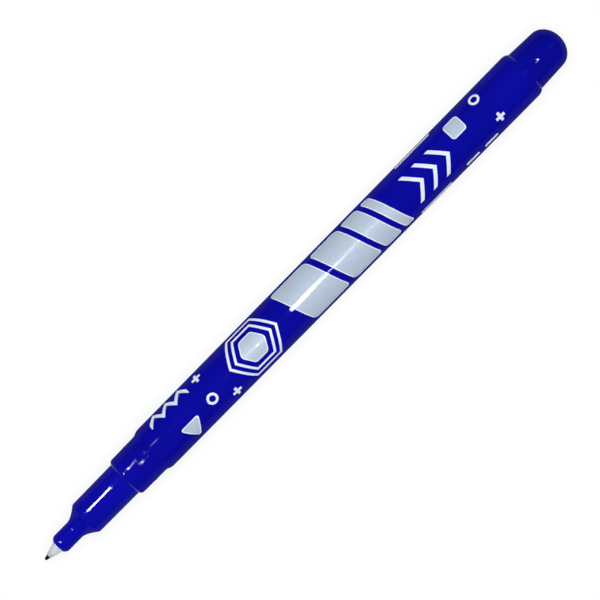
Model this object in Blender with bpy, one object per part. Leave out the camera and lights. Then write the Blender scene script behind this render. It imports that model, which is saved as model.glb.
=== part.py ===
"""Fibre-tip fineliner with its cap off, lying on its side with the nib towards -X.

Every size is in millimetres. Stations are measured along the pen's axis from the tip of the nib.
The origin lies on the resting surface, under the middle of the pen's length.
"""

from math import acos, atan2, cos, hypot, pi, radians, sin, tan

import bmesh
import bpy
from mathutils import Matrix, Vector

MM = 0.001

# Facets round every turned piece, and points along a round stretch of an outline
SIDES = 32
ROUND_STEPS = 4
DOME_STEPS = 8
SMOOTH_ANGLE = radians(32)
WELD = 1e-7

# The most of a straight leg that the fillet at its end may take
FILLET_SHARE = 0.45

# Clearance between pieces that are pressed or slid together
FIT = 0.05

# Nib: a fine fibre rod, ground to a blunt point, in a white sleeve that ends in a cone
ROD_DIAMETER = 0.88
POINT_LENGTH = 0.95
POINT_SLOPE = radians(12)
ROD_BITE = 6.0
SLEEVE_EDGE = 0.04
SLEEVE_DIAMETER = 2.5
CONE_LENGTH = 2.55
FLANGE_STEP = 0.5
FLANGE_LENGTH = 1.2

# Front section: nose tube, flare and grip, with a spigot inside the barrel's neck
NOSE_WALL = 0.64
NOSE_LENGTH = 4.35
NOSE_LIP = 0.14
NOSE_LEAD = 0.85
NOSE_LEAD_SAG = 0.1
FLARE_LENGTH = 2.95
FLARE_SAG = 0.2
GRIP_LENGTH = 10.35
GRIP_STEP = 0.58
GRIP_TAPER = 0.16
GRIP_WALL = 1.0
SPIGOT_STEP = 0.39
SPIGOT_LENGTH = 6.5
SPIGOT_ROUND = 0.3
SEAT_LEAD = 0.5
CHAMBER_LEAD = 1.7

# Barrel: a moulded tube with a narrow neck, the collar that takes the cap, and a slight taper
COLLAR_LENGTH = 6.3
COLLAR_STEP = 0.44
COLLAR_TAPER = 0.13
COLLAR_LIP = 0.12
COLLAR_LEAD = 0.75
COLLAR_LEAD_SAG = 0.1
BEAD_INSET = 3.5
BEAD_LENGTH = 0.9
BEAD_HEIGHT = 0.04
FRONT_SHOULDER_LENGTH = 1.35
FRONT_SHOULDER_ROUND = 1.2
NECK_LEAD = 1.6
BARREL_LENGTH = 99.15
BARREL_FRONT_DIAMETER = 9.46
BARREL_TAPER = 0.4
BARREL_WALL = 0.78
SOCKET_DEPTH = 0.5
REAR_LIP = 0.12
REAR_SHOULDER_LENGTH = 0.8
REAR_SHOULDER_SAG = 0.05
RIB_COUNT = 4
RIB_HEIGHT = 0.3
RIB_RAMP = 0.5
RIB_INSET = 2.0

# Ink filler: a fibre rod wrapped in film, held between the barrel's neck and the plug
FILM_THICKNESS = 0.12

# End plug: a domed head on a ribbed, hollow spigot
PLUG_STEP = 0.53
PLUG_HEAD_LENGTH = 9.27
PLUG_DRAFT = 0.26
PLUG_DOME_LENGTH = 3.4
PLUG_SPIGOT_LENGTH = 8.0
PLUG_SPIGOT_ROUND = 0.3
PLUG_WALL = 1.0
PLUG_END_WALL = 3.0
PLUG_RIB_COUNT = 8
PLUG_RIB_HEIGHT = 0.15
PLUG_RIB_INSET = 1.2

# Stations along the axis, tip to tail
MOUTH = POINT_LENGTH + CONE_LENGTH
NOSE_END = MOUTH + NOSE_LENGTH
GRIP_START = NOSE_END + FLARE_LENGTH
COLLAR_START = GRIP_START + GRIP_LENGTH
COLLAR_END = COLLAR_START + COLLAR_LENGTH
NECK_END = COLLAR_END + NECK_LEAD
BARREL_REAR = COLLAR_END + BARREL_LENGTH
TAIL = BARREL_REAR + PLUG_HEAD_LENGTH
GRIP_END = COLLAR_START + SOCKET_DEPTH - FIT
SPIGOT_END = COLLAR_START + SPIGOT_LENGTH
SLEEVE_SEAT = GRIP_START - SEAT_LEAD
SLEEVE_END = SLEEVE_SEAT + FIT + FLANGE_LENGTH
PLUG_SEAT = BARREL_REAR - SOCKET_DEPTH + FIT
PLUG_FRONT = BARREL_REAR - PLUG_SPIGOT_LENGTH
FILLER_FRONT = NECK_END + FIT
FILLER_REAR = PLUG_FRONT - FIT

# Radii
ROD = ROD_DIAMETER / 2
SLEEVE_BORE = ROD + FIT
SLEEVE = SLEEVE_DIAMETER / 2
FLANGE = SLEEVE + FLANGE_STEP
NIB_BORE = SLEEVE + FIT
NOSE = NIB_BORE + NOSE_WALL
BARREL_FRONT_SKIN = BARREL_FRONT_DIAMETER / 2
BARREL_REAR_SKIN = (BARREL_FRONT_DIAMETER + BARREL_TAPER) / 2
COLLAR_REAR = BARREL_FRONT_SKIN - COLLAR_STEP
COLLAR_FRONT = COLLAR_REAR - COLLAR_TAPER / 2
GRIP_REAR = COLLAR_FRONT - GRIP_STEP
GRIP_FRONT = GRIP_REAR - GRIP_TAPER / 2
CHAMBER = GRIP_FRONT - GRIP_WALL
SPIGOT = GRIP_REAR - SPIGOT_STEP
NECK_BORE = SPIGOT + FIT
BORE = BARREL_FRONT_SKIN - BARREL_WALL
FILM = BORE - RIB_HEIGHT - FIT
FILLER = FILM - FILM_THICKNESS - FIT
PLUG_HEAD = BARREL_REAR_SKIN - PLUG_STEP
PLUG_END = PLUG_HEAD - PLUG_DRAFT
PLUG_SPIGOT = BORE - FIT
PLUG_CAVITY = PLUG_SPIGOT - PLUG_RIB_HEIGHT - PLUG_WALL

# A facet faces straight down, so the corners start half a facet away from -Z
FACET = 2 * pi / SIDES
FIRST_CORNER = pi + FACET / 2
AXIS_HEIGHT = max(BARREL_FRONT_SKIN, BARREL_REAR_SKIN) * cos(FACET / 2)

# Finishes: linear red, green and blue, then roughness
BARREL_BLUE = (0.0033, 0.0033, 0.33, 0.35)
NOSE_BLUE = (0.004, 0.004, 0.38, 0.2)
PLUG_BLUE = (0.003, 0.003, 0.29, 0.25)
ACETAL_WHITE = (0.72, 0.76, 0.78, 0.45)
INKED_FIBRE = (0.004, 0.004, 0.006, 0.6)
FILLER_FIBRE = (0.05, 0.06, 0.42, 0.9)
CLEAR_FILM = (0.75, 0.8, 0.9, 0.25)


def clear_scene():
    for obj in list(bpy.data.objects):
        bpy.data.objects.remove(obj)


def finish(name, values):
    """A Principled material; nothing on the pen is metal."""
    material = bpy.data.materials.new(name)
    material.use_nodes = True
    shader = material.node_tree.nodes["Principled BSDF"]
    shader.inputs["Base Color"].default_value = (*values[:3], 1)
    shader.inputs["Roughness"].default_value = values[3]
    shader.inputs["Metallic"].default_value = 0
    return material


def filleted(corners):
    """The loop of corners as points. A corner with a third value becomes an arc of that radius."""
    points = []
    for i, corner in enumerate(corners):
        here = Vector(corner[:2])
        fillet = corner[2] if len(corner) > 2 else 0
        if not fillet:
            points.append(tuple(here))
            continue
        back = Vector(corners[i - 1][:2]) - here
        ahead = Vector(corners[(i + 1) % len(corners)][:2]) - here
        half = back.angle(ahead) / 2
        leg = min(fillet / tan(half), FILLET_SHARE * back.length, FILLET_SHARE * ahead.length)
        centre = here + (back.normalized() + ahead.normalized()).normalized() * leg / cos(half)
        first = here + back.normalized() * leg - centre
        turn = first.angle_signed(here + ahead.normalized() * leg - centre)
        for step in range(ROUND_STEPS + 1):
            points.append(tuple(centre + Matrix.Rotation(-turn * step / ROUND_STEPS, 2) @ first))
    return points


def bowed(start, end, sag):
    """Points inside the arc from start to end, bowed out from the axis by sag, or in if sag is negative."""
    run, rise = end[0] - start[0], end[1] - start[1]
    chord = hypot(run, rise)
    radius = (chord * chord / 4 + sag * sag) / (2 * abs(sag))
    half = acos(1 - abs(sag) / radius)
    slope = atan2(rise, run)
    bow = 1 if sag > 0 else -1
    points = []
    for step in range(1, ROUND_STEPS + 1):
        angle = half * (2 * step / (ROUND_STEPS + 1) - 1)
        along = chord / 2 + radius * sin(angle)
        out = bow * radius * (cos(angle) - cos(half))
        points.append((
            start[0] + along * cos(slope) - out * sin(slope),
            start[1] + along * sin(slope) + out * cos(slope),
        ))
    return points


def on_facets(station, radius, corner):
    """The point of a turned piece at a station, a radius and a numbered corner of its facets."""
    angle = FIRST_CORNER + corner * FACET
    return Vector((station, radius * sin(angle), radius * cos(angle))) * MM


def turned(name, outline, material, parent, ribs=None):
    """A piece turned from an outline of stations and radii, with its origin at the first station."""
    home = outline[0][0]
    solid = bmesh.new()
    points = [solid.verts.new(on_facets(x - home, r, 0)) for x, r in outline]
    edges = []
    for i, point in enumerate(points):
        if outline[i - 1][1] or outline[i][1]:
            edges.append(solid.edges.new((points[i - 1], point)))
    bmesh.ops.spin(solid, geom=points + edges, axis=(1, 0, 0), angle=-2 * pi, steps=SIDES, use_merge=True)
    bmesh.ops.remove_doubles(solid, verts=solid.verts, dist=WELD)
    if ribs:
        raise_ribs(solid, home, *ribs)
    bmesh.ops.recalc_face_normals(solid, faces=solid.faces)
    mesh = bpy.data.meshes.new(name)
    solid.to_mesh(mesh)
    solid.free()
    mesh.shade_smooth()
    mesh.set_sharp_from_angle(angle=SMOOTH_ANGLE)
    mesh.materials.append(material)
    piece = bpy.data.objects.new(name, mesh)
    piece.location.x = home * MM
    piece.parent = parent
    bpy.context.scene.collection.objects.link(piece)
    return piece


def raise_ribs(solid, home, first, last, radius, height, count):
    """Straight ribs along a round face between two stations; a negative height makes them face the axis."""
    near = WELD / MM
    for point in solid.verts:
        station = point.co.x / MM + home
        out = hypot(point.co.y, point.co.z) / MM
        if not (first - near < station < last + near and abs(out - radius) < near):
            continue
        corner = round((atan2(point.co.y, point.co.z) - FIRST_CORNER) / FACET) % SIDES
        if corner % (SIDES // count) < 2:
            grow = (out + height) / out
            point.co.y *= grow
            point.co.z *= grow


def fibre_nib(parent):
    """A rod whose front slopes in to a round tip; the tip's radius lets the two meet without a corner."""
    end = FILLER_FRONT + ROD_BITE
    tip = (ROD * cos(POINT_SLOPE) - POINT_LENGTH * sin(POINT_SLOPE)) / (1 - sin(POINT_SLOPE))
    point = []
    for step in range(DOME_STEPS + 1):
        angle = (pi / 2 - POINT_SLOPE) * step / DOME_STEPS
        point.append((tip * (1 - cos(angle)), tip * sin(angle)))
    outline = point + [(POINT_LENGTH, ROD), (end, ROD), (end, 0)]
    return turned("fibre_nib", outline, finish("inked_fibre", INKED_FIBRE), parent)


def nib_sleeve(parent):
    flange_front = SLEEVE_SEAT + FIT
    outline = [
        (POINT_LENGTH, SLEEVE_BORE),
        (POINT_LENGTH, SLEEVE_BORE + SLEEVE_EDGE),
        (MOUTH, SLEEVE),
        (flange_front, SLEEVE),
        (flange_front, FLANGE),
        (SLEEVE_END, FLANGE),
        (SLEEVE_END, SLEEVE_BORE),
    ]
    return turned("nib_sleeve", outline, finish("white_acetal", ACETAL_WHITE), parent)


def front_section(parent):
    lip, lead_end = (MOUTH, NIB_BORE + NOSE_LIP), (MOUTH + NOSE_LEAD, NOSE)
    flare_start, flare_end = (NOSE_END, NOSE), (GRIP_START, GRIP_FRONT)
    outside = [
        (MOUTH, NIB_BORE),
        lip,
        *bowed(lip, lead_end, NOSE_LEAD_SAG),
        lead_end,
        flare_start,
        *bowed(flare_start, flare_end, -FLARE_SAG),
        flare_end,
        (GRIP_END, GRIP_REAR),
        (GRIP_END, SPIGOT),
        (SPIGOT_END, SPIGOT, SPIGOT_ROUND),
    ]
    inside = [
        (SPIGOT_END, CHAMBER),
        (GRIP_START + CHAMBER_LEAD, CHAMBER),
        (SLEEVE_SEAT, FLANGE + FIT),
        (SLEEVE_SEAT, NIB_BORE),
    ]
    return turned("front_section", filleted(outside + inside), finish("nose_blue", NOSE_BLUE), parent)


def barrel(parent):
    front_socket, rear_socket = GRIP_REAR + FIT, PLUG_HEAD + FIT
    slope = (COLLAR_REAR - COLLAR_FRONT) / COLLAR_LENGTH
    front_lip = (COLLAR_START, front_socket + COLLAR_LIP)
    lead_end = (COLLAR_START + COLLAR_LEAD, COLLAR_FRONT + slope * COLLAR_LEAD)
    bead_start = (COLLAR_START + BEAD_INSET, COLLAR_FRONT + slope * BEAD_INSET)
    bead_end = (bead_start[0] + BEAD_LENGTH, bead_start[1] + slope * BEAD_LENGTH)
    rear_lip = (BARREL_REAR, rear_socket + REAR_LIP)
    taper = (BARREL_REAR_SKIN - BARREL_FRONT_SKIN) / BARREL_LENGTH
    front_skin = (COLLAR_END + FRONT_SHOULDER_LENGTH, BARREL_FRONT_SKIN + taper * FRONT_SHOULDER_LENGTH)
    rear_skin = (BARREL_REAR - REAR_SHOULDER_LENGTH, BARREL_REAR_SKIN - taper * REAR_SHOULDER_LENGTH)
    rib_front = NECK_END + RIB_INSET
    rib_rear = PLUG_FRONT - RIB_INSET
    outside = [
        (COLLAR_START, front_socket),
        front_lip,
        *bowed(front_lip, lead_end, COLLAR_LEAD_SAG),
        lead_end,
        bead_start,
        *bowed(bead_start, bead_end, BEAD_HEIGHT),
        bead_end,
        (COLLAR_END, COLLAR_REAR, FRONT_SHOULDER_ROUND),
        (*front_skin, FRONT_SHOULDER_ROUND),
        rear_skin,
        *bowed(rear_skin, rear_lip, REAR_SHOULDER_SAG),
        rear_lip,
    ]
    inside = [
        (BARREL_REAR, rear_socket),
        (BARREL_REAR - SOCKET_DEPTH, rear_socket),
        (BARREL_REAR - SOCKET_DEPTH, BORE),
        (rib_rear, BORE),
        (rib_rear - RIB_RAMP, BORE),
        (rib_front + RIB_RAMP, BORE),
        (rib_front, BORE),
        (NECK_END, BORE),
        (NECK_END, NECK_BORE),
        (COLLAR_START + SOCKET_DEPTH, NECK_BORE),
        (COLLAR_START + SOCKET_DEPTH, front_socket),
    ]
    ribs = (rib_front + RIB_RAMP, rib_rear - RIB_RAMP, BORE, -RIB_HEIGHT, RIB_COUNT)
    return turned("barrel", filleted(outside + inside), finish("barrel_blue", BARREL_BLUE), parent, ribs)


def filler_film(parent):
    inside = FILM - FILM_THICKNESS
    outline = [(FILLER_FRONT, inside), (FILLER_FRONT, FILM), (FILLER_REAR, FILM), (FILLER_REAR, inside)]
    return turned("filler_film", outline, finish("clear_film", CLEAR_FILM), parent)


def ink_filler(parent):
    pilot = ROD + FIT
    pilot_end = FILLER_FRONT + ROD_BITE + FIT
    outline = [
        (FILLER_FRONT, pilot),
        (FILLER_FRONT, FILLER),
        (FILLER_REAR, FILLER),
        (FILLER_REAR, 0),
        (pilot_end, 0),
        (pilot_end, pilot),
    ]
    return turned("ink_filler", outline, finish("filler_fibre", FILLER_FIBRE), parent)


def end_plug(parent):
    core = PLUG_SPIGOT - PLUG_RIB_HEIGHT
    cavity_end = TAIL - PLUG_END_WALL
    dome = []
    for step in range(DOME_STEPS + 1):
        angle = pi / 2 * step / DOME_STEPS
        dome.append((TAIL - PLUG_DOME_LENGTH * (1 - sin(angle)), PLUG_END * cos(angle)))
    dome[-1] = (TAIL, 0)
    rib_front, rib_rear = PLUG_FRONT + PLUG_RIB_INSET, PLUG_SEAT - PLUG_RIB_INSET
    outside = [
        (PLUG_FRONT, PLUG_CAVITY),
        (PLUG_FRONT, core, PLUG_SPIGOT_ROUND),
        (rib_front, core),
        (rib_front + RIB_RAMP, core),
        (rib_rear - RIB_RAMP, core),
        (rib_rear, core),
        (PLUG_SEAT, core),
        (PLUG_SEAT, PLUG_HEAD),
    ]
    inside = [(cavity_end, 0), (cavity_end, PLUG_CAVITY)]
    ribs = (rib_front + RIB_RAMP, rib_rear - RIB_RAMP, core, PLUG_RIB_HEIGHT, PLUG_RIB_COUNT)
    outline = filleted(outside + dome + inside)
    return turned("end_plug", outline, finish("plug_blue", PLUG_BLUE), parent, ribs)


def main():
    clear_scene()
    axis = bpy.data.objects.new("pen_axis", None)
    axis.location = (-TAIL / 2 * MM, 0, AXIS_HEIGHT * MM)
    bpy.context.scene.collection.objects.link(axis)
    for make in (fibre_nib, nib_sleeve, front_section, barrel, filler_film, ink_filler, end_plug):
        make(axis)


main()
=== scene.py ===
import math

import bmesh
import bpy
from mathutils import Matrix, Vector


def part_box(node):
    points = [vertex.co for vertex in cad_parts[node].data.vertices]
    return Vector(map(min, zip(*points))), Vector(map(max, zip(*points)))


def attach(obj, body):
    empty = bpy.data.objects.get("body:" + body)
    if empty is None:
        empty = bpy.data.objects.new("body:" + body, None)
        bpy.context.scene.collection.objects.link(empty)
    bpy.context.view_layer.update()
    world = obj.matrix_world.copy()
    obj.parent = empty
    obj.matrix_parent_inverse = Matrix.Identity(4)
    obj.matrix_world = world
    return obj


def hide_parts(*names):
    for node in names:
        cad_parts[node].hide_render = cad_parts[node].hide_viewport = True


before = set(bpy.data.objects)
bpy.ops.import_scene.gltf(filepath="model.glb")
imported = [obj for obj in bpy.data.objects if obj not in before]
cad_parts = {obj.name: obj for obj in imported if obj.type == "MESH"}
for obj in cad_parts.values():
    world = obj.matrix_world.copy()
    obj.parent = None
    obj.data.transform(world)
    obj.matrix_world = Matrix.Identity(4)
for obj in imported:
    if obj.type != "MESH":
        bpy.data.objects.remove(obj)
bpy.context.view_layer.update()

# Piece sizes are in mm. A station is a distance along the pen's axis from the tip of its nib.
mm = 0.001
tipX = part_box("fibre_nib")[0].x
axisZ = (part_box("barrel")[0].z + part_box("barrel")[1].z) / 2


def endsOf(node):
    return [(corner.x - tipX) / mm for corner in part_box(node)]


nibTip, nibRear = endsOf("fibre_nib")
coneFront, flangeRear = endsOf("nib_sleeve")
noseMouth, spigotRear = endsOf("front_section")
barrelFront, barrelRear = endsOf("barrel")
fillerFront, fillerRear = endsOf("ink_filler")
plugFront, plugTail = endsOf("end_plug")

meshing = {
    "turnSteps": 128,  # facets round a turned piece
    "roundSteps": 6,  # segments in a rounded corner
    "curveSteps": 14,  # points along a drawn curve
    "hold": 0.1,  # a long edge gets a point this far from each end, so that its shading stays flat
    "longEdge": 6,  # in holds
    "sharpAngle": math.radians(35),
    "near": 0.001,  # how far a point may be from the place it is looked for
    "weld": 1e-7,  # metres
}
fine, crisp, eased, blunt, broad = 0.03, 0.05, 0.1, 0.15, 0.3  # rounds of plain corners

cameraSet = {
    "height": 500.6,  # above the pen's axis
    "offset": (-0.566, 0.088),  # from the middle of the pen
    "turn": -45.474,  # degrees, so that the pen runs up to the right
    "lens": 162.2,
}


def makeCamera():
    data = bpy.data.cameras.new("topCamera")
    data.lens = cameraSet["lens"]
    camera = bpy.data.objects.new("topCamera", data)
    x, y = cameraSet["offset"]
    camera.location = (x * mm, y * mm, axisZ + cameraSet["height"] * mm)
    camera.rotation_euler = (0, 0, math.radians(cameraSet["turn"]))
    bpy.context.scene.collection.objects.link(camera)
    bpy.context.scene.camera = camera
    print("camera placed")


# Node helpers: a value that is a socket is linked, any other is set
def fillSocket(tree, socket, value):
    if isinstance(value, bpy.types.NodeSocket):
        tree.links.new(value, socket)
    else:
        socket.default_value = value


def fillSockets(tree, node, values):
    for label, value in values.items():
        fillSocket(tree, node.inputs[label], value)


def addNode(tree, kind, values=None, **settings):
    node = tree.nodes.new("ShaderNode" + kind)
    for name, value in settings.items():
        setattr(node, name, value)
    fillSockets(tree, node, values or {})
    return node.outputs


def newGroup(name, inputs, outputs):
    group = bpy.data.node_groups.new(name, "ShaderNodeTree")
    for label, value in inputs.items():
        kind = "NodeSocketColor" if isinstance(value, tuple) else "NodeSocketFloat"
        group.interface.new_socket(label, in_out="INPUT", socket_type=kind).default_value = value
    for label, kind in outputs.items():
        group.interface.new_socket(label, in_out="OUTPUT", socket_type="NodeSocket" + kind)
    return group, group.nodes.new("NodeGroupInput").outputs


def closeGroup(group, values):
    fillSockets(group, group.nodes.new("NodeGroupOutput"), values)
    return group


def objectSpace(tree, scale=(1, 1, 1), turn=(0, 0, 0)):
    coords = addNode(tree, "TexCoord")["Object"]
    return addNode(tree, "Mapping", {"Vector": coords, "Scale": scale, "Rotation": turn})[0]


def spread(tree, value, fromLow, fromHigh, toLow, toHigh):
    ends = {"From Min": fromLow, "From Max": fromHigh, "To Min": toLow, "To Max": toHigh}
    return addNode(tree, "MapRange", {"Value": value, **ends})[0]


def noise(tree, space, scale, detail=3):
    return addNode(tree, "TexNoise", {"Vector": space, "Scale": scale, "Detail": detail})["Fac"]


def grey(tree, value):
    return addNode(tree, "CombineColor", {"Red": value, "Green": value, "Blue": value})[0]


def blendColour(tree, share, first, second, mode="MIX"):
    node = tree.nodes.new("ShaderNodeMix")
    node.data_type = "RGBA"
    node.blend_type = mode
    sockets = {socket.identifier: socket for socket in [*node.inputs, *node.outputs]}
    for label, value in {"Factor_Float": share, "A_Color": first, "B_Color": second}.items():
        fillSocket(tree, sockets[label], value)
    return sockets["Result_Color"]


def times(tree, first, second):
    return addNode(tree, "Math", {0: first, 1: second}, operation="MULTIPLY")[0]


def plus(tree, first, second):
    return addNode(tree, "Math", {0: first, 1: second}, operation="ADD")[0]


# A value that is full at a station and gone at a reach from it
def fadeAlong(tree, station, reach, strength):
    along = addNode(tree, "SeparateXYZ", {"Vector": objectSpace(tree)})["X"]
    edge = tipX + station * mm
    return spread(tree, along, edge, edge + reach * mm, strength, 0)


# Shared effects are node groups. Their noise scales are per metre, in object space.
noiseBand = (0.3, 0.7)  # where most of a noise's values lie

skinNoise = {
    "cloudScale": 120,  # about 8 mm
    "cloudTone": (0.6, 1.4),
    "smearScale": 700,  # about 1.4 mm
    "peelScale": 2600,
}


# Moulded plastic: slow colour drift, uneven polish and a faint orange peel
def makeMouldedSkin():
    inputs = {"Colour": (1, 1, 1, 1), "Drift": 0.1, "Roughness": 0.3, "Polish": 0.05}
    group, given = newGroup("mouldedSkin", inputs, {"Colour": "Color", "Roughness": "Float", "Height": "Float"})
    space = objectSpace(group)
    cloud = spread(group, noise(group, space, skinNoise["cloudScale"]), *noiseBand, *skinNoise["cloudTone"])
    colour = blendColour(group, given["Drift"], given["Colour"], grey(group, cloud), "MULTIPLY")
    smear = spread(group, noise(group, space, skinNoise["smearScale"], detail=5), *noiseBand, -1, 1)
    roughness = plus(group, given["Roughness"], times(group, smear, given["Polish"]))
    peel = noise(group, space, skinNoise["peelScale"], detail=2)
    return closeGroup(group, {"Colour": colour, "Roughness": roughness, "Height": peel})


wear = {
    "hairlines": [  # along the pen, then across it
        {"stretch": (60, 5200, 5200), "turn": (0, 0.012, 0.02), "band": (0.7, 0.78)},
        {"stretch": (5200, 240, 240), "turn": (0, 0.5, 0.8), "band": (0.76, 0.82)},
    ],
    "breakScale": 260,
    "breakBand": (0.5, 0.66),
    "speckScale": 900,
    "speckSize": (0.06, 0.1),
    "speckPick": (0.86, 0.9),  # only few cells hold a speck
}


# Handling: hairline scratches, and sparse specks of dust
def makeHandling():
    inputs = {"Colour": (1, 1, 1, 1), "Scratches": 0.2, "Dust": 0.2, "Mark": (0.5, 0.5, 0.6, 1)}
    group, given = newGroup("handling", inputs, {"Colour": "Color", "Scuff": "Float"})
    hairlines = []
    for values in wear["hairlines"]:
        lines = noise(group, objectSpace(group, values["stretch"], values["turn"]), 1, detail=1)
        hairlines.append(spread(group, lines, *values["band"], 0, 1))
    breaks = spread(group, noise(group, objectSpace(group), wear["breakScale"]), *wear["breakBand"], 0, 1)
    scratch = times(group, times(group, plus(group, *hairlines), breaks), given["Scratches"])
    cells = addNode(group, "TexVoronoi", {"Vector": objectSpace(group), "Scale": wear["speckScale"]})
    speck = spread(group, cells["Distance"], *wear["speckSize"], 1, 0)
    pick = addNode(group, "SeparateColor", {"Color": cells["Color"]})["Red"]
    speck = times(group, times(group, speck, spread(group, pick, *wear["speckPick"], 0, 1)), given["Dust"])
    scuff = addNode(group, "Math", {0: scratch, 1: speck}, operation="MAXIMUM", use_clamp=True)[0]
    colour = blendColour(group, scuff, given["Colour"], given["Mark"])
    return closeGroup(group, {"Colour": colour, "Scuff": scuff})


inkGrain = {
    "flakeScale": 14000,
    "flakeTone": (0.55, 1.35),
    "layScale": 1500,
    "holeBand": (0.7, 0.76),
    "unevenGloss": 0.06,
}


# Printing ink: fine flake, soft unevenness and pinholes that let the plastic through
def makeInkLay():
    inputs = {"Colour": (1, 1, 1, 1), "Flake": 0.2, "Under": (0, 0, 0.3, 1), "Pinholes": 0.5, "Roughness": 0.4}
    group, given = newGroup("inkLay", inputs, {"Colour": "Color", "Roughness": "Float", "Height": "Float"})
    space = objectSpace(group)
    cells = addNode(group, "TexVoronoi", {"Vector": space, "Scale": inkGrain["flakeScale"]})["Color"]
    grain = addNode(group, "SeparateColor", {"Color": cells})["Green"]
    tone = grey(group, spread(group, grain, 0, 1, *inkGrain["flakeTone"]))
    colour = blendColour(group, given["Flake"], given["Colour"], tone, "MULTIPLY")
    lay = noise(group, space, inkGrain["layScale"], detail=4)
    hole = times(group, spread(group, lay, *inkGrain["holeBand"], 0, 1), given["Pinholes"])
    colour = blendColour(group, hole, colour, given["Under"])
    uneven = inkGrain["unevenGloss"]
    roughness = plus(group, given["Roughness"], spread(group, lay, *noiseBand, -uneven, uneven))
    return closeGroup(group, {"Colour": colour, "Roughness": roughness, "Height": grain})


strandNoise = {
    "stretch": (300, 9000, 9000),
    "wanderScale": 800,
    "wanderShare": 0.3,
    "gapBand": (0.5, 0.8),
}


# Bonded fibre: strands along the pen, with darker gaps
def makeStrands():
    inputs = {"Colour": (1, 1, 1, 1), "Gap": (0, 0, 0, 1), "Depth": 0.5}
    group, given = newGroup("strands", inputs, {"Colour": "Color", "Height": "Float"})
    lines = noise(group, objectSpace(group, strandNoise["stretch"]), 1)
    wander = noise(group, objectSpace(group), strandNoise["wanderScale"], detail=2)
    mixed = plus(group, lines, times(group, wander, strandNoise["wanderShare"]))
    share = times(group, spread(group, mixed, *strandNoise["gapBand"], 0, 1), given["Depth"])
    colour = blendColour(group, share, given["Colour"], given["Gap"])
    return closeGroup(group, {"Colour": colour, "Height": lines})


shineFade = {
    "turned": (0.1, 0.28),  # from 26 to 44 degrees
    "flankShare": 0.2,
    "evenBlend": 0.5,  # Layer Weight then gives 1 minus the cosine
}


# Shine: a coat that is weaker where the surface turns from the eye, so that flanks stay deep on a pale floor
def makeShine():
    group, given = newGroup("shine", {"Coat": 0.4, "Turned": 0.0}, {"Coat": "Float"})
    share = spread(group, given["Turned"], *shineFade["turned"], 1, shineFade["flankShare"])
    return closeGroup(group, {"Coat": times(group, given["Coat"], share)})


groups = {
    "mouldedSkin": makeMouldedSkin(),
    "handling": makeHandling(),
    "inkLay": makeInkLay(),
    "strands": makeStrands(),
    "shine": makeShine(),
}


def newFinish(name):
    material = bpy.data.materials.new(name)
    material.use_nodes = True
    return material, material.node_tree, material.node_tree.nodes["Principled BSDF"]


def place(tree, group, values):
    node = tree.nodes.new("ShaderNodeGroup")
    node.node_tree = groups[group]
    fillSockets(tree, node, values)
    return node.outputs


def placeSkin(tree, colour, values):
    return place(tree, "mouldedSkin", {
        "Colour": colour,
        "Drift": values["drift"],
        "Roughness": values["roughness"],
        "Polish": values["polish"],
    })


def placeWear(tree, colour, values):
    return place(tree, "handling", {
        "Colour": colour,
        "Scratches": values["scratches"],
        "Dust": values["dust"],
        "Mark": values["mark"],
    })


def placeShine(tree, coat):
    turned = addNode(tree, "LayerWeight", {"Blend": shineFade["evenBlend"]})["Facing"]
    return place(tree, "shine", {"Coat": coat, "Turned": turned})["Coat"]


def relief(tree, shader, height, strength, depth):
    bump = addNode(tree, "Bump", {"Height": height, "Strength": strength, "Distance": depth * mm})
    for label in ("Normal", "Coat Normal"):
        tree.links.new(bump[0], shader.inputs[label])


# The shine of the plastic is its coat, and its own colour stays deep
bluePlastic = {
    "barrel": {"colour": (0.0033, 0.0033, 0.33, 1), "coat": 0.4},
    "front": {"colour": (0.004, 0.004, 0.38, 1), "coat": 0.5},
    "plug": {"colour": (0.003, 0.003, 0.29, 1), "coat": 0.4},
    "coatRoughness": 0.015,
    "specular": 0,
    "roughness": 0.3,
    "drift": 0.12,
    "polish": 0.06,
    "scratches": 0.10,
    "dust": 0.12,
    "mark": (0.10, 0.12, 0.45, 1),  # a scuffed spot
    "scuffedGloss": 0.25,
    "rimShine": 0.9,  # added to the coat at a lip, and gone this far from it
    "rimWidth": 0.3,
}


def makeBlue(part, lips=()):
    values = bluePlastic[part]
    material, tree, shader = newFinish(part + "Blue")
    skin = placeSkin(tree, values["colour"], bluePlastic)
    worn = placeWear(tree, skin["Colour"], bluePlastic)
    gloss = plus(tree, skin["Roughness"], times(tree, worn["Scuff"], bluePlastic["scuffedGloss"]))
    coat = placeShine(tree, values["coat"])
    for station, inward in lips:
        rim = fadeAlong(tree, station, inward * bluePlastic["rimWidth"], bluePlastic["rimShine"])
        coat = plus(tree, coat, rim)
    fillSockets(tree, shader, {
        "Base Color": worn["Colour"],
        "Roughness": gloss,
        "Specular IOR Level": bluePlastic["specular"],
        "Coat Weight": coat,
        "Coat Roughness": bluePlastic["coatRoughness"],
    })
    return material


acetal = {
    "colour": (0.66, 0.71, 0.735, 1),
    "pointGrey": (0.10, 0.11, 0.16, 1),  # darker grey near the point, fading along the cone
    "pointGreyLength": 1.2,
    "pointGreyShare": 0.5,
    "greyBreakScale": 3000,
    "greyBreakBand": (0.35, 0.65),
    "greyBreakLeast": 0.5,
    "drift": 0.05,
    "roughness": 0.38,
    "polish": 0.05,
    "specular": 0.3,
    "relief": (0.06, 0.02),  # strength and depth
}


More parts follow.
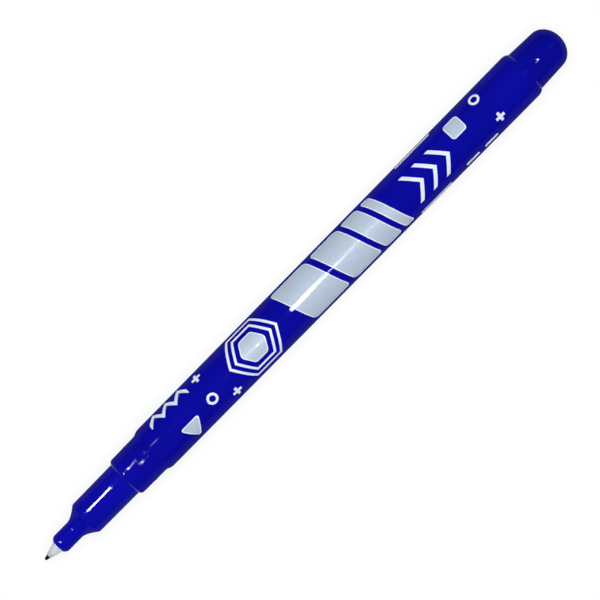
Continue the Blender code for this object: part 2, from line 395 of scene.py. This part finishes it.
def makeAcetal():
    material, tree, shader = newFinish("whiteAcetal")
    skin = placeSkin(tree, acetal["colour"], acetal)
    # The cone turns greyer near its point, unevenly, broken up by noise
    greyBreak = noise(tree, objectSpace(tree), acetal["greyBreakScale"])
    reach = fadeAlong(tree, coneFront, acetal["pointGreyLength"], acetal["pointGreyShare"])
    pointGrey = times(tree, reach, spread(tree, greyBreak, *acetal["greyBreakBand"], acetal["greyBreakLeast"], 1))
    fillSockets(tree, shader, {
        "Base Color": blendColour(tree, pointGrey, skin["Colour"], acetal["pointGrey"]),
        "Roughness": skin["Roughness"],
        "Specular IOR Level": acetal["specular"],
    })
    relief(tree, shader, skin["Height"], *acetal["relief"])
    return material


fibres = {
    "nib": {"colour": (0.006, 0.006, 0.011, 1), "gap": (0.001, 0.001, 0.002, 1), "roughness": 0.5},
    "filler": {"colour": (0.07, 0.09, 0.5, 1), "gap": (0.01, 0.012, 0.14, 1), "roughness": 0.85},
    "gapDepth": 0.8,
    "specular": 0.1,
    "relief": (0.5, 0.05),
}


def makeFibre(part):
    values = fibres[part]
    material, tree, shader = newFinish(part + "Fibre")
    strands = place(tree, "strands", {
        "Colour": values["colour"],
        "Gap": values["gap"],
        "Depth": fibres["gapDepth"],
    })
    fillSockets(tree, shader, {
        "Base Color": strands["Colour"],
        "Roughness": values["roughness"],
        "Specular IOR Level": fibres["specular"],
    })
    relief(tree, shader, strands["Height"], *fibres["relief"])
    return material


clearFilm = {
    "colour": (0.86, 0.9, 0.97, 1),
    "drift": 0.06,
    "roughness": 0.18,
    "polish": 0.08,
    "ior": 1.49,
    "relief": (0.1, 0.02),
}


def makeClearFilm():
    material, tree, shader = newFinish("clearFilm")
    skin = placeSkin(tree, clearFilm["colour"], clearFilm)
    fillSockets(tree, shader, {
        "Base Color": skin["Colour"],
        "Roughness": skin["Roughness"],
        "Transmission Weight": 1,
        "IOR": clearFilm["ior"],
    })
    relief(tree, shader, skin["Height"], *clearFilm["relief"])
    return material


inks = {
    "silver": {"colour": (0.50, 0.60, 0.72, 1), "metallic": 0.02, "roughness": 0.42, "flake": 0.3, "pinholes": 0.35},
    "white": {"colour": (0.80, 0.86, 0.96, 1), "metallic": 0, "roughness": 0.45, "flake": 0.05, "pinholes": 0.3},
    "specular": 0.1,
    "coat": 0.6,
    "coatRoughness": 0.07,
    "under": (0.02, 0.03, 0.4, 1),  # the plastic seen through a pinhole
    "scratches": 0.12,
    "dust": 0.1,
    "mark": (0.3, 0.34, 0.5, 1),
    "relief": (0.12, 0.01),
}


def makeInk(part):
    values = inks[part]
    material, tree, shader = newFinish(part + "Ink")
    lay = place(tree, "inkLay", {
        "Colour": values["colour"],
        "Flake": values["flake"],
        "Under": inks["under"],
        "Pinholes": values["pinholes"],
        "Roughness": values["roughness"],
    })
    worn = placeWear(tree, lay["Colour"], inks)
    fillSockets(tree, shader, {
        "Base Color": worn["Colour"],
        "Roughness": lay["Roughness"],
        "Metallic": values["metallic"],
        "Specular IOR Level": inks["specular"],
        "Coat Weight": placeShine(tree, inks["coat"]),
        "Coat Roughness": inks["coatRoughness"],
    })
    relief(tree, shader, lay["Height"], *inks["relief"])
    return material


# Turned pieces: an outline of (station, radius, corner round) is spun about the pen's axis
def turnOutline(outline):
    bm = bmesh.new()
    points = [bm.verts.new((tipX + station * mm, 0, axisZ + radius * mm)) for station, radius, _ in outline]
    for index, point in enumerate(points):
        if outline[index - 1][1] or outline[index][1]:  # no edge along the axis
            bm.edges.new((points[index - 1], point))
    for point, (_, _, corner) in zip(points, outline):
        if corner:
            roundCorners(bm, [point], corner * mm)
    holdEnds(bm)
    spun = {"axis": (1, 0, 0), "cent": (0, 0, axisZ), "angle": 2 * math.pi, "steps": meshing["turnSteps"]}
    bmesh.ops.spin(bm, geom=bm.verts[:] + bm.edges[:], use_merge=True, **spun)
    bmesh.ops.remove_doubles(bm, verts=bm.verts, dist=meshing["weld"])
    return bm


def roundCorners(bm, points, offset):
    bmesh.ops.bevel(
        bm, geom=points, offset=offset, offset_type="OFFSET", segments=meshing["roundSteps"],
        profile=0.5, affect="VERTICES", clamp_overlap=False, material=-1,
    )


def holdEnds(bm):
    hold = meshing["hold"] * mm
    for edge in [edge for edge in bm.edges if edge.calc_length() > meshing["longEdge"] * hold]:
        for end in edge.verts[:]:
            bmesh.utils.edge_split(edge, end, hold / edge.calc_length())


def shares(steps):
    return [step / steps for step in range(steps + 1)]


def fade(start, end, share):
    return start + (end - start) * share


# A mouth's rounded edge: the radius climbs from low to high, steeply at first
def leadIn(start, low, high, values):
    points = []
    for share in shares(meshing["curveSteps"]):
        radius = fade(high, low, (1 - share) ** values["leadPower"])
        points.append((start + share * values["lead"], radius, 0 if share else fine))
    return points


# Straight ribs along a round wall: a band of points moves in or out
def raiseRibs(bm, run, wall, height, values):
    near = meshing["near"]
    first, last = run
    for point in bm.verts:
        station = (point.co.x - tipX) / mm
        out = math.hypot(point.co.y, point.co.z - axisZ) / mm
        turn = math.degrees(math.atan2(point.co.y, point.co.z - axisZ)) % (360 / values["ribCount"])
        if first - near < station < last + near and abs(out - wall) < near and turn < values["ribWidth"]:
            grow = (out + height) / out
            point.co.y *= grow
            point.co.z = axisZ + (point.co.z - axisZ) * grow


def addPiece(name, bm, material, body, node=None):
    bm.normal_update()  # points have moved since the faces were made
    bmesh.ops.recalc_face_normals(bm, faces=bm.faces)
    mesh = bpy.data.meshes.new(name)
    bm.to_mesh(mesh)
    bm.free()
    mesh.shade_smooth()
    mesh.set_sharp_from_angle(angle=meshing["sharpAngle"])
    mesh.materials.append(material)
    piece = bpy.data.objects.new(name, mesh)
    bpy.context.scene.collection.objects.link(piece)
    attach(piece, body)
    if node:
        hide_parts(node)
    print(name, "made,", len(mesh.polygons), "faces")


nib = {"rod": 0.44, "slope": 12, "tipSteps": 12}  # the point's slope in degrees


def makeNib():
    rod, slope = nib["rod"], math.radians(nib["slope"])
    tip = (rod * math.cos(slope) - coneFront * math.sin(slope)) / (1 - math.sin(slope))
    outline = []
    for share in shares(nib["tipSteps"]):
        angle = share * (math.pi / 2 - slope)
        outline.append((nibTip + tip * (1 - math.cos(angle)), tip * math.sin(angle), 0))
    outline += [(coneFront, rod, 0), (nibRear, rod, crisp), (nibRear, 0, 0)]
    bm = turnOutline(outline)
    addPiece("fibre_point", bm, makeFibre("nib"), "pen", "fibre_nib")


sleeve = {
    "bore": 0.49,
    "boreRound": 0.01,
    "edge": 0.04,
    "edgeRound": 0.015,
    "stem": 1.25,
    "stemRound": 0.2,
    "flange": 1.75,
    "flangeLength": 1.2,
}


def makeSleeve():
    flangeFront = flangeRear - sleeve["flangeLength"]
    bm = turnOutline([
        (coneFront, sleeve["bore"], sleeve["boreRound"]),
        (coneFront, sleeve["bore"] + sleeve["edge"], sleeve["edgeRound"]),
        (noseMouth, sleeve["stem"], sleeve["stemRound"]),
        (flangeFront, sleeve["stem"], eased),
        (flangeFront, sleeve["flange"], blunt),
        (flangeRear, sleeve["flange"], blunt),
        (flangeRear, sleeve["bore"], eased),
    ])
    addPiece("nib_cone", bm, makeAcetal(), "pen", "nib_sleeve")


front = {
    "bore": 1.3,
    "nose": 1.94,
    "lip": 0.14,
    "lead": 0.85,
    "leadPower": 1.7,
    "noseLength": 4.35,
    "flareLength": 2.95,
    "flarePower": 1.5,  # the flare steepens towards the grip
    "flareShare": 0.87,  # where its curve meets the round of the grip's edge
    "gripRound": 0.28,
    "gripEnds": (3.565, 3.645),
    "socketDepth": 0.45,  # of the grip's end in the barrel
    "spigot": 3.255,
    "chamber": 2.565,
    "chamberLead": 1.7,
    "seat": 10.3,  # station of the sleeve's flange
    "seatRadius": 1.8,
}


def makeFront():
    noseRear = noseMouth + front["noseLength"]
    gripFront = noseRear + front["flareLength"]
    gripRear = barrelFront + front["socketDepth"]
    gripStart, gripEnd = front["gripEnds"]
    lipEdge = front["bore"] + front["lip"]
    outline = [(noseMouth, front["bore"], crisp)] + leadIn(noseMouth, lipEdge, front["nose"], front)
    for share in shares(meshing["curveSteps"]):
        along = share * front["flareShare"]
        radius = fade(front["nose"], gripStart, along ** front["flarePower"])
        outline.append((noseRear + along * front["flareLength"], radius, 0))
    outline += [
        (gripFront, gripStart, front["gripRound"]),
        (gripRear, gripEnd, crisp),
        (gripRear, front["spigot"], crisp),
        (spigotRear, front["spigot"], broad),
        (spigotRear, front["chamber"], blunt),
        (gripFront + front["chamberLead"], front["chamber"], broad),
        (front["seat"], front["seatRadius"], crisp),
        (front["seat"], front["bore"], crisp),
    ]
    addPiece("front_moulding", turnOutline(outline), makeBlue("front"), "pen", "front_section")


barrel = {
    "collarLength": 6.3,
    "collarEnds": (4.225, 4.29),
    "lip": 0.12,
    "lead": 0.75,
    "leadPower": 2.2,
    "beadInset": 3.5,
    "beadLength": 0.9,
    "beadHeight": 0.04,
    "shoulderEnds": (0.4, 1.3),  # behind the collar
    "shoulderRound": 0.42,
    "skinEnds": (4.73, 4.93),
    "rearShoulder": 0.8,
    "rearRound": 0.4,
    "rearLip": 0.12,
    "rearLipRound": 0.06,
    "socketDepth": 0.5,
    "frontSocket": 3.695,
    "rearSocket": 4.45,
    "rearSeatRound": 0.08,
    "neckBore": 3.305,
    "neckLead": 1.6,
    "bore": 3.95,
    "ribCount": 4,
    "ribHeight": 0.3,
    "ribInset": 2.0,
    "ribRamp": 0.5,
    "ribWidth": 12,  # degrees
}
collarRear = barrelFront + barrel["collarLength"]


def skinRadius(station):
    return fade(*barrel["skinEnds"], (station - collarRear) / (barrelRear - collarRear))


def collarRadius(inset):
    return fade(*barrel["collarEnds"], inset / barrel["collarLength"])


def makeBarrel():
    lipEdge = barrel["frontSocket"] + barrel["lip"]
    leadEnd = collarRadius(barrel["lead"])
    outline = [(barrelFront, barrel["frontSocket"], crisp)] + leadIn(barrelFront, lipEdge, leadEnd, barrel)
    for share in shares(meshing["curveSteps"]):
        inset = barrel["beadInset"] + share * barrel["beadLength"]
        bead = barrel["beadHeight"] * (1 - math.cos(2 * math.pi * share)) / 2
        outline.append((barrelFront + inset, collarRadius(inset) + bead, 0))
    neckSkin, frontSkin = [collarRear + reach for reach in barrel["shoulderEnds"]]
    rearSkin = barrelRear - barrel["rearShoulder"]
    frontSeat = barrelFront + barrel["socketDepth"]
    rearSeat = barrelRear - barrel["socketDepth"]
    neckRear = collarRear + barrel["neckLead"]
    frontRib = neckRear + barrel["ribInset"]
    rearRib = plugFront - barrel["ribInset"]
    ribRun = (frontRib + barrel["ribRamp"], rearRib - barrel["ribRamp"])
    outline += [
        (neckSkin, barrel["collarEnds"][1], barrel["shoulderRound"]),
        (frontSkin, skinRadius(frontSkin), barrel["shoulderRound"]),
        (rearSkin, skinRadius(rearSkin), barrel["rearRound"]),
        (barrelRear, barrel["rearSocket"] + barrel["rearLip"], barrel["rearLipRound"]),
        (barrelRear, barrel["rearSocket"], fine),
        (rearSeat, barrel["rearSocket"], 0),
        (rearSeat, barrel["bore"], barrel["rearSeatRound"]),
        (rearRib, barrel["bore"], 0),
        (ribRun[1], barrel["bore"], 0),
        (ribRun[0], barrel["bore"], 0),
        (frontRib, barrel["bore"], 0),
        (neckRear, barrel["bore"], crisp),
        (neckRear, barrel["neckBore"], eased),
        (frontSeat, barrel["neckBore"], crisp),
        (frontSeat, barrel["frontSocket"], 0),
    ]
    bm = turnOutline(outline)
    raiseRibs(bm, ribRun, barrel["bore"], -barrel["ribHeight"], barrel)
    skin = makeBlue("barrel", [(barrelFront, 1), (barrelRear, -1)])
    addPiece("barrel_tube", bm, skin, "pen", "barrel")


filler = {"rod": 3.43, "rodRound": 0.2, "pilot": 0.49, "pilotGap": 0.05, "filmEnds": (3.48, 3.6)}


def makeFiller():
    pilotRear = nibRear + filler["pilotGap"]
    rod = turnOutline([
        (fillerFront, filler["pilot"], crisp),
        (fillerFront, filler["rod"], filler["rodRound"]),
        (fillerRear, filler["rod"], filler["rodRound"]),
        (fillerRear, 0, 0),
        (pilotRear, 0, 0),
        (pilotRear, filler["pilot"], 0),
    ])
    addPiece("filler_rod", rod, makeFibre("filler"), "pen", "ink_filler")
    inside, outside = filler["filmEnds"]
    film = turnOutline([
        (fillerFront, inside, fine),
        (fillerFront, outside, fine),
        (fillerRear, outside, fine),
        (fillerRear, inside, fine),
    ])
    addPiece("filler_wrap", film, makeClearFilm(), "pen", "filler_film")


plug = {
    "head": 4.4,
    "headRound": 0.08,
    "headEnd": 4.14,
    "dome": 3.4,
    "domeSteps": 20,
    "seatInset": 0.45,
    "spigot": 3.75,
    "cavity": 2.75,
    "endWall": 3.0,
    "ribCount": 8,
    "ribHeight": 0.15,
    "ribInset": 1.2,
    "ribRamp": 0.5,
    "ribWidth": 12,  # degrees
}


def makePlug():
    seat = barrelRear - plug["seatInset"]
    cavityEnd = plugTail - plug["endWall"]
    frontRib = plugFront + plug["ribInset"]
    rearRib = seat - plug["ribInset"]
    ribRun = (frontRib + plug["ribRamp"], rearRib - plug["ribRamp"])
    outline = [
        (plugFront, plug["cavity"], eased),
        (plugFront, plug["spigot"], broad),
        (frontRib, plug["spigot"], 0),
        (ribRun[0], plug["spigot"], 0),
        (ribRun[1], plug["spigot"], 0),
        (rearRib, plug["spigot"], 0),
        (seat, plug["spigot"], crisp),
        (seat, plug["head"], plug["headRound"]),
    ]
    for share in shares(plug["domeSteps"]):
        angle = share * math.pi / 2
        outline.append((plugTail - plug["dome"] * (1 - math.sin(angle)), plug["headEnd"] * math.cos(angle), 0))
    outline[-1] = (plugTail, 0, 0)
    outline += [(cavityEnd, 0, 0), (cavityEnd, plug["cavity"], broad)]
    bm = turnOutline(outline)
    raiseRibs(bm, ribRun, plug["spigot"], plug["ribHeight"], plug)
    addPiece("plug_moulding", bm, makeBlue("plug"), "plug", "end_plug")


# Print: flat ink shapes in mm, laid out as (station, distance round the barrel), then wrapped on it.
# The distance is 0 on top, and more than 0 towards -Y.
inkDrawing = {
    "roundSides": 40,
    "barSides": 26,
    "zigzagEnd": 0.3,  # corner round of a zigzag's ends, as a share of its line
}


def inkPatch(bm, size, sides, soft):
    points = bmesh.ops.create_circle(bm, cap_ends=True, radius=size, segments=sides)["verts"]
    return softened(bm, points, points, soft)


def inkRing(bm, size, line, sides=inkDrawing["roundSides"]):
    outer = bmesh.ops.create_circle(bm, radius=size, segments=sides)["verts"]
    hole = size - line / math.cos(math.pi / sides)
    inner = bmesh.ops.create_circle(bm, radius=hole, segments=sides)["verts"]
    bmesh.ops.bridge_loops(bm, edges=list({edge for point in outer + inner for edge in point.link_edges}))
    return outer + inner


def inkBar(bm, length, line):
    sides = inkDrawing["barSides"]
    points = bmesh.ops.create_circle(bm, cap_ends=True, radius=line / 2, segments=sides)["verts"]
    for point in points:
        point.co.x += math.copysign((length - line) / 2, point.co.x)
    return points


def inkPanel(bm, length, height, slant, soft):
    points = bmesh.ops.create_grid(bm, x_segments=1, y_segments=1, size=0.5)["verts"]
    for point in points:
        point.co = (point.co.x * length + point.co.y * height * slant, point.co.y * height, 0)
    return softened(bm, points, points, soft)


def inkPlus(bm, size, line):
    points = bmesh.ops.create_grid(bm, x_segments=3, y_segments=3, size=1)["verts"]
    inside = 0.5  # parts the grid's inner lines, at a third, from its rim
    faces = {face for point in points for face in point.link_faces}
    corners = [face for face in faces if min(map(abs, face.calc_center_median()[:2])) > inside]
    bmesh.ops.delete(bm, geom=corners, context="FACES")
    points = [point for point in points if point.is_valid]
    for point in points:
        for axis in (0, 1):
            reach = size / 2 if abs(point.co[axis]) > inside else line / 2
            point.co[axis] = math.copysign(reach, point.co[axis])
    return points


def inkZigzag(bm, length, line, rise, waves):
    points = bmesh.ops.create_grid(bm, x_segments=2 * waves, y_segments=1, size=0.5)["verts"]
    half = line / 2 * math.hypot(1, 4 * rise * waves / length)
    for point in points:
        swing = rise * math.cos((point.co.x + 0.5) * waves * 2 * math.pi)
        point.co = (point.co.x * length, math.copysign(half, point.co.y) + swing, 0)
    ends = [point for point in points if abs(point.co.x) > length / 2 - meshing["near"]]
    return softened(bm, points, ends, line * inkDrawing["zigzagEnd"])


def inkChevron(bm, depth, height, line):
    points = bmesh.ops.create_grid(bm, x_segments=1, y_segments=2, size=0.5)["verts"]
    for point in points:
        point.co = (point.co.x * line + depth * (0.5 - 2 * abs(point.co.y)), point.co.y * height, 0)
    return points


def softened(bm, points, corners, soft):
    before = set(bm.verts) - set(points)
    roundCorners(bm, corners, soft)
    return [point for point in bm.verts if point not in before]


printLayout = {
    "root": 0.01,  # depth of the ink's foot under the skin
    "whiteTop": 0.012,
    "silverTop": 0.022,
    "keyline": 0.22,  # white margin round silver
    "cut": 0.25,  # width of the strips that bend round the barrel
    "cutSnap": 1e-5,
    "run": (33, 120),
    "white": [
        (inkZigzag, (36.2, -4.4), 0, {"length": 9.6, "line": 0.75, "rise": 1.0, "waves": 3}),
        (inkPlus, (43.6, -4.2), 0, {"size": 2.0, "line": 0.6}),
        (inkPlus, (47.4, 3.9), 0, {"size": 2.0, "line": 0.6}),
        (inkRing, (43.2, 1.2), 0, {"size": 1.15, "line": 0.5}),
        (inkRing, (55.2, -0.2), 90, {"size": 6.2, "line": 0.5, "sides": 6}),
        (inkRing, (55.2, -0.2), 90, {"size": 4.7, "line": 0.5, "sides": 6}),
        (inkChevron, (97.4, 0.4), 0, {"depth": 2.6, "height": 6.4, "line": 0.95}),
        (inkChevron, (100.8, 0.4), 0, {"depth": 2.6, "height": 6.4, "line": 0.95}),
        (inkChevron, (104.2, 0.4), 0, {"depth": 2.6, "height": 6.4, "line": 0.95}),
        (inkBar, (98.6, 6.2), 0, {"length": 8.0, "line": 0.7}),
        (inkBar, (101.4, -6.0), 0, {"length": 9.0, "line": 0.7}),
        (inkRing, (116.0, -3.4), 0, {"size": 1.15, "line": 0.5}),
        (inkPlus, (117.2, 2.6), 0, {"size": 2.0, "line": 0.6}),
        (inkBar, (108.4, 5.4), 0, {"length": 3.4, "line": 0.7}),
        (inkBar, (113.2, 5.4), 0, {"length": 3.4, "line": 0.7}),
    ],
    "silver": [
        (inkPatch, (37.0, 2.6), 0, {"size": 2.3, "sides": 3, "soft": 0.5}),
        (inkPatch, (55.2, -0.2), 90, {"size": 2.8, "sides": 6, "soft": 0.3}),
        (inkPanel, (69.9, 0.0), 0, {"length": 8.6, "height": 10.6, "slant": 0.32, "soft": 0.8}),
        (inkPanel, (79.3, 0.0), 0, {"length": 6.6, "height": 10.6, "slant": 0.32, "soft": 0.8}),
        (inkPanel, (86.0, 0.0), 0, {"length": 3.6, "height": 10.6, "slant": 0.32, "soft": 0.6}),
        (inkPanel, (90.2, 0.0), 0, {"length": 1.6, "height": 10.6, "slant": 0.32, "soft": 0.4}),
        (inkPatch, (109.8, -2.2), 45, {"size": 2.2, "sides": 4, "soft": 0.5}),
    ],
}
skinMiddle = sum(barrel["skinEnds"]) / 2


def grown(maker, values, margin):
    wide = dict(values)
    if maker is inkPatch:
        wide["size"] += margin / math.cos(math.pi / wide["sides"])
    else:
        wide["length"] += 2 * margin * math.hypot(1, wide["slant"])
        wide["height"] += 2 * margin
    wide["soft"] += margin
    return wide


def layInk(bm, maker, centre, turn, values):
    first, last = printLayout["run"]
    station, across = centre
    places = [(station, across), (first + last - station, math.pi * skinMiddle - across)]
    for side, (x, y) in enumerate(places):  # the same print again on the other side, end for end
        points = maker(bm, **values)
        spin = Matrix.Rotation(math.radians(turn) + side * math.pi, 4, "Z")
        bmesh.ops.transform(bm, matrix=Matrix.Translation((x, y, 0)) @ spin, verts=points)


def wrapInk(bm, top):
    steps = math.ceil(2 * math.pi * skinMiddle / printLayout["cut"])
    slicing = {"dist": printLayout["cutSnap"], "plane_no": (0, 1, 0)}
    for step in range(-steps, steps + 1):
        everything = bm.verts[:] + bm.edges[:] + bm.faces[:]
        bmesh.ops.bisect_plane(bm, geom=everything, plane_co=(0, step * printLayout["cut"], 0), **slicing)
    raised = bmesh.ops.extrude_face_region(bm, geom=bm.faces[:])["geom"]
    raised = [item for item in raised if isinstance(item, bmesh.types.BMVert)]
    bmesh.ops.translate(bm, verts=raised, vec=(0, 0, top + printLayout["root"]))
    for point in bm.verts:
        radius = skinRadius(point.co.x) + point.co.z - printLayout["root"]
        turn = point.co.y / skinMiddle
        point.co = (tipX + point.co.x * mm, -radius * math.sin(turn) * mm, axisZ + radius * math.cos(turn) * mm)


def makePrint():
    white, silver = bmesh.new(), bmesh.new()
    for motif in printLayout["white"]:
        layInk(white, *motif)
    for maker, centre, turn, values in printLayout["silver"]:
        layInk(white, maker, centre, turn, grown(maker, values, printLayout["keyline"]))
        layInk(silver, maker, centre, turn, values)
    wrapInk(white, printLayout["whiteTop"])
    wrapInk(silver, printLayout["silverTop"])
    addPiece("print_white", white, makeInk("white"), "pen")
    addPiece("print_silver", silver, makeInk("silver"), "pen")


# Studio: sizes and places in mm, from the middle of the pen's axis
keyLamp = {"at": (0, 0, 900), "size": (700, 700), "watts": 9.6}
glintLamps = {
    "noseSpot": {"at": (-156.4, 228, 700), "size": (0.7, 140), "watts": 0.031},
    "gripStrip": {"at": (-143.4, 303, 700), "size": (15.6, 165), "watts": 0.46},
    "collarHead": {"at": (-127.3, 292, 700), "size": (0.8, 150), "watts": 0.038},
    "collarStrip": {"at": (-125, 306, 700), "size": (4.4, 60), "watts": 0.018},
    "collarSpot": {"at": (-112.6, -30, 700), "size": (0.7, 130), "watts": 0.03},
    "shoulderStrip": {"at": (-96.7, 263, 700), "size": (3.6, 45), "watts": 0.008},
    "panelStrip": {"at": (-2.5, -10, 700), "size": (14, 200), "watts": 0.88},
    "panelTrail": {"at": (12, -10, 700), "size": (10, 90), "watts": 0.07},
    "tailSpot": {"at": (207.6, -30, 700), "size": (0.6, 120), "watts": 0.02},
    "tailGleam": {"at": (650, -30, 700), "size": (700, 25), "watts": 0.2},
    "noseGleam": {"at": (-650, 200, 700), "size": (700, 25), "watts": 0.15},
}


def hangLamp(name, values, glint):
    data = bpy.data.lights.new(name, "AREA")
    data.shape = "RECTANGLE"
    data.size, data.size_y = [side * mm for side in values["size"]]
    data.energy = values["watts"]
    lamp = bpy.data.objects.new(name, data)
    spot = Vector(values["at"]) * mm
    lamp.location = spot + Vector((0, 0, axisZ))
    tilt = math.atan2(spot.y, spot.z)
    lean = math.atan2(spot.x, math.hypot(spot.y, spot.z))
    lamp.rotation_euler = (Matrix.Rotation(-tilt, 3, "X") @ Matrix.Rotation(lean, 3, "Y")).to_euler()
    lamp.visible_glossy = glint  # a glint lamp shows only as a mirrored streak
    lamp.visible_diffuse = not glint
    lamp.visible_camera = False
    bpy.context.scene.collection.objects.link(lamp)


def makeLamps():
    hangLamp("key", keyLamp, False)
    for name, values in glintLamps.items():
        hangLamp(name, values, True)
    print(1 + len(glintLamps), "lamps hung")


studio = {
    "world": (0.03, 0.032, 0.036, 1),
    "floorSize": 3000,
    "floorDrop": 0.03,  # the round barrel reaches a hair below its faceted solid
    "glow": 0.82,
    "shadowed": (0.18, 0.18, 0.18, 1),
    "bounce": (0.7, 0.7, 0.7, 1),
}


# The floor glows where it is seen, also in a mirror or through film, and elsewhere only bounces light
def makeFloorPaint():
    material = bpy.data.materials.new("whiteSweep")
    material.use_nodes = True
    tree = material.node_tree
    tree.nodes.remove(tree.nodes["Principled BSDF"])
    path = addNode(tree, "LightPath")
    seen = plus(tree, plus(tree, path["Is Camera Ray"], path["Is Glossy Ray"]), path["Is Transmission Ray"])
    glow = addNode(tree, "Emission", {"Color": (1, 1, 1, 1), "Strength": studio["glow"]})[0]
    catcher = addNode(tree, "BsdfDiffuse", {"Color": studio["shadowed"]})[0]
    shown = addNode(tree, "AddShader", {0: glow, 1: catcher})[0]
    bounce = addNode(tree, "BsdfDiffuse", {"Color": studio["bounce"]})[0]
    surface = addNode(tree, "MixShader", {0: seen, 1: bounce, 2: shown})[0]
    tree.links.new(surface, tree.nodes["Material Output"].inputs["Surface"])
    return material


def makeStudio():
    world = bpy.data.worlds.new("dimRoom")
    world.use_nodes = True
    world.node_tree.nodes["Background"].inputs["Color"].default_value = studio["world"]
    bpy.context.scene.world = world
    bm = bmesh.new()
    bmesh.ops.create_grid(bm, x_segments=1, y_segments=1, size=studio["floorSize"] / 2 * mm)
    bmesh.ops.translate(bm, verts=bm.verts, vec=(0, 0, -studio["floorDrop"] * mm))
    mesh = bpy.data.meshes.new("floor")
    bm.to_mesh(mesh)
    bm.free()
    mesh.materials.append(makeFloorPaint())
    floor = bpy.data.objects.new("floor", mesh)
    bpy.context.scene.collection.objects.link(floor)
    bpy.context.scene.view_settings.view_transform = "Standard"
    print("studio ready")


makeCamera()
makeNib()
makeSleeve()
makeFront()
makeBarrel()
makeFiller()
makePlug()
makePrint()
makeLamps()
makeStudio()
